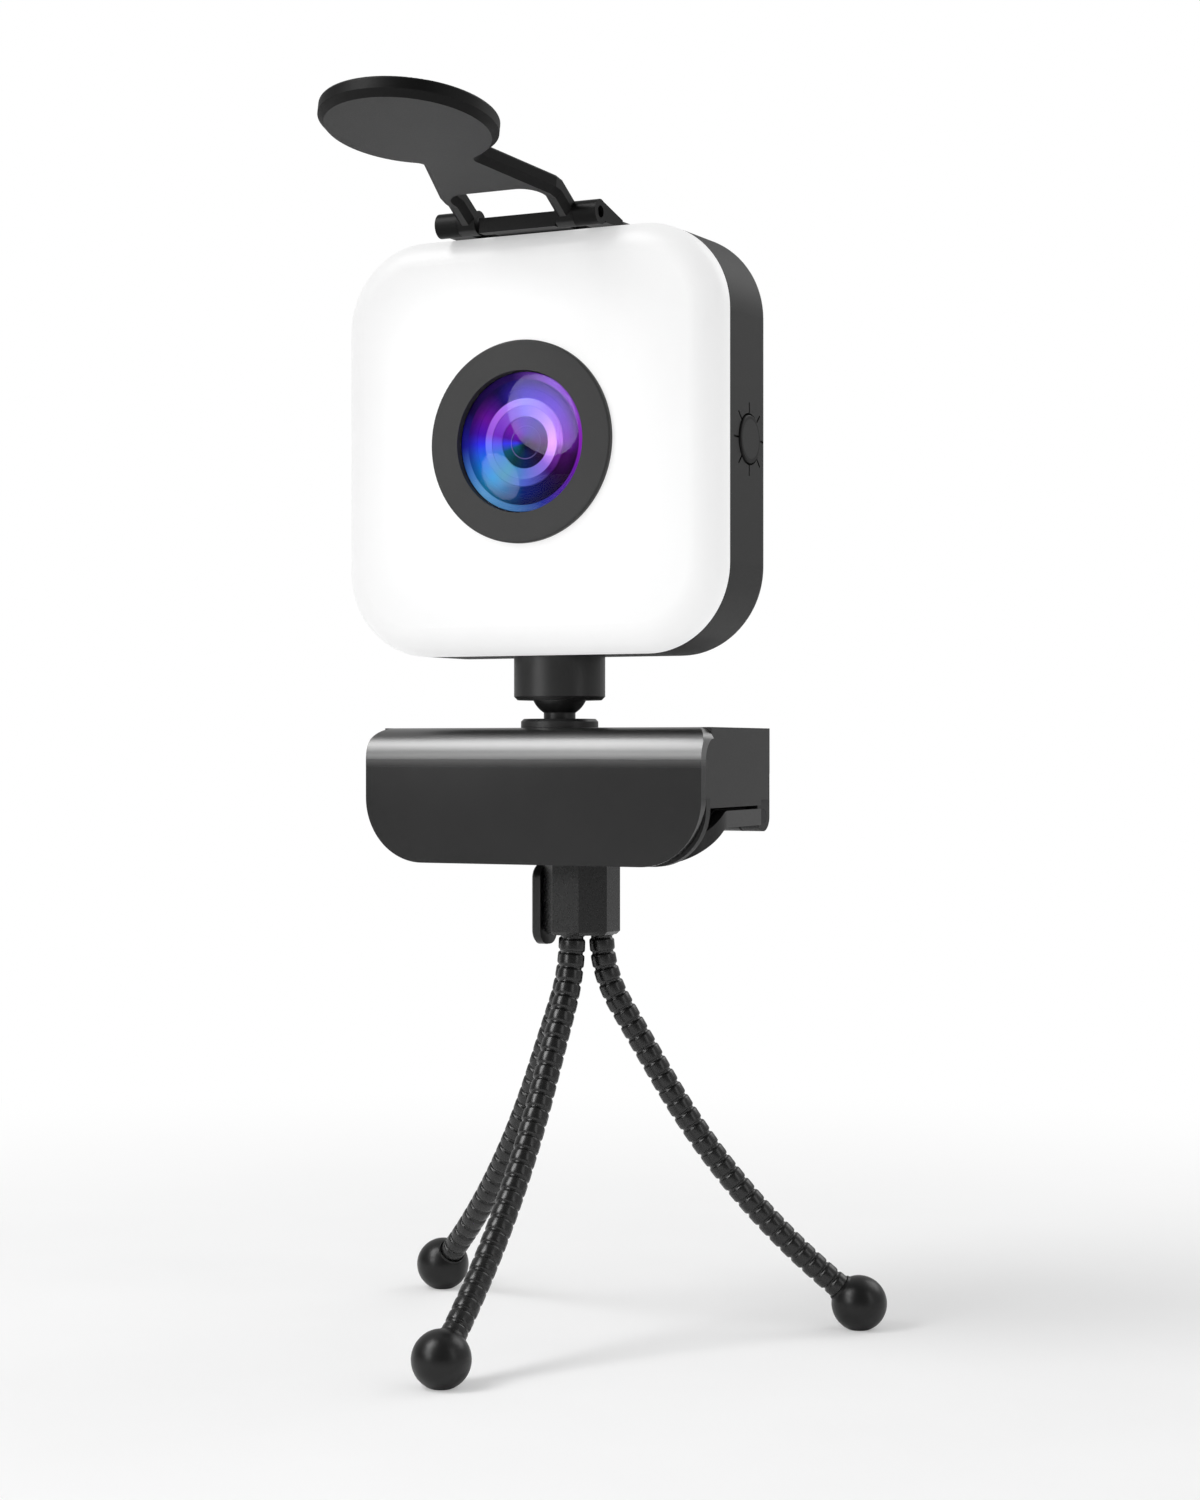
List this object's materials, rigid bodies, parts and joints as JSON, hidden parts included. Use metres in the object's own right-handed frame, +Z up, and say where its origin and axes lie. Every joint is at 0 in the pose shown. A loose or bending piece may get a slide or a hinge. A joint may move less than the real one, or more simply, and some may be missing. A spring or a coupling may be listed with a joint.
{
  "type": "webcam on tripod",
  "caption": "Webcam with a square light panel, round lens and flip-up lens cover on a ball neck and folding monitor clip, standing on a small tripod with ribbed bendable legs.",
  "frame": {"origin": "on the floor, under the middle of the overall box", "axes": "+Z up, the lens faces -Y, +X to the right as seen from the front"},
  "size_m": [0.0792, 0.086, 0.1715],
  "materials": {
    "light_panel": "milky diffuser",
    "dark_plastic": "fine matte",
    "gloss_black": "polished",
    "lens_glass": "coated glass",
    "board": "circuit board",
    "white_board": "white circuit board",
    "light_chip": "light chip",
    "chip_black": "chip",
    "steel": "plain",
    "brass": "turned",
    "rubber": "matte rubber",
    "nylon": "nylon",
    "leg_black": "ribbed sleeve",
    "leg_core": "drawn wire",
    "foot_black": "satin rubber"
  },
  "bodies": {
    "tripod": {"tripod_hub": "dark_plastic", "hub_cap": "dark_plastic", "hub_pad": "rubber", "leg_root_front": "leg_black", "leg_root_right": "leg_black", "leg_root_left": "leg_black", "leg_core_root_front": "leg_core", "leg_core_root_right": "leg_core", "leg_core_root_left": "leg_core"},
    "lock": {"lock_lever": "dark_plastic", "lock_screw": "steel"},
    "jaw": {"clip_jaw": "dark_plastic", "jaw_pad": "rubber", "thread_insert": "brass", "tripod_stud": "steel", "jaw_hinge_pin": "steel", "hinge_washers": "nylon"},
    "clip": {"clip_shell": "dark_plastic", "clip_front_panel": "gloss_black", "clip_base_plate": "dark_plastic", "clip_base_screws": "steel", "lip_pad": "rubber"},
    "swivel": {"ball_stud": "dark_plastic", "swivel_washer": "steel", "swivel_screw": "steel"},
    "tilt": {"socket_liner": "nylon"},
    "head": {"front_diffuser": "light_panel", "rear_housing": "dark_plastic", "lens_bezel": "dark_plastic", "lens_window": "lens_glass", "lens_barrel": "dark_plastic", "front_element": "lens_glass", "rear_element": "lens_glass", "lens_holder": "dark_plastic", "image_sensor": "chip_black", "main_board": "board", "microphone": "dark_plastic", "light_board": "white_board", "light_chips": "light_chip", "light_board_screws": "steel", "main_board_screws": "steel", "cable_entry": "rubber", "button_switch": "dark_plastic", "cover_bracket": "dark_plastic", "cover_pins": "steel", "neck_socket": "dark_plastic", "neck_ring": "steel"},
    "cover": {"lens_cover": "dark_plastic"},
    "button": {"light_button": "dark_plastic"},
    "front_leg": {"leg_front": "leg_black", "leg_core_front": "leg_core", "foot_front": "foot_black"},
    "right_leg": {"leg_right": "leg_black", "leg_core_right": "leg_core", "foot_right": "foot_black"},
    "left_leg": {"leg_left": "leg_black", "leg_core_left": "leg_core", "foot_left": "foot_black"}
  },
  "joints": [
    {"name": "lock_turn", "type": "hinge", "parent": "tripod", "child": "lock", "pos_m": [-0.0055, 0.01837, 0.06656], "axis": [-1, 0, 0], "range_deg": [0, 90]},
    {"name": "tripod_pan", "type": "hinge", "parent": "tripod", "child": "jaw", "pos_m": [0, 0.01837, 0.0745], "axis": [0, 0, 1], "continuous": true},
    {"name": "clip_fold", "type": "hinge", "parent": "jaw", "child": "clip", "pos_m": [0, 0.03227, 0.0757], "axis": [-1, 0, 0], "range_deg": [0, 100]},
    {"name": "neck_swivel", "type": "hinge", "parent": "clip", "child": "swivel", "pos_m": [0, 0.01137, 0.0887], "axis": [0, 0, 1], "continuous": true},
    {"name": "head_tilt", "type": "hinge", "parent": "swivel", "child": "tilt", "pos_m": [0, 0.01137, 0.0944], "axis": [-1, 0, 0], "range_deg": [-18, 18]},
    {"name": "head_roll", "type": "hinge", "parent": "tilt", "child": "head", "pos_m": [0, 0.01137, 0.0944], "axis": [0, 1, 0], "range_deg": [-12, 12]},
    {"name": "cover_hinge", "type": "hinge", "parent": "head", "child": "cover", "pos_m": [0, -0.00073, 0.1603], "axis": [-1, 0, 0], "range_deg": [-101, 79]},
    {"name": "light_button_press", "type": "slide", "parent": "head", "child": "button", "axis": [-1, 0, 0], "range_m": [0, 0.0004], "stiffness_N_per_m": 400, "springref_m": -0.001},
    {"name": "front_leg_bend", "type": "hinge", "parent": "tripod", "child": "front_leg", "pos_m": [0, 0.01222, 0.04737], "axis": [-1, 0, 0], "range_deg": [-25, 20]},
    {"name": "right_leg_bend", "type": "hinge", "parent": "tripod", "child": "right_leg", "pos_m": [0.00532, 0.02144, 0.04737], "axis": [0.5, -0.866, 0], "range_deg": [-25, 20]},
    {"name": "left_leg_bend", "type": "hinge", "parent": "tripod", "child": "left_leg", "pos_m": [-0.00532, 0.02144, 0.04737], "axis": [0.5, 0.866, 0], "range_deg": [-25, 20]}
  ]
}
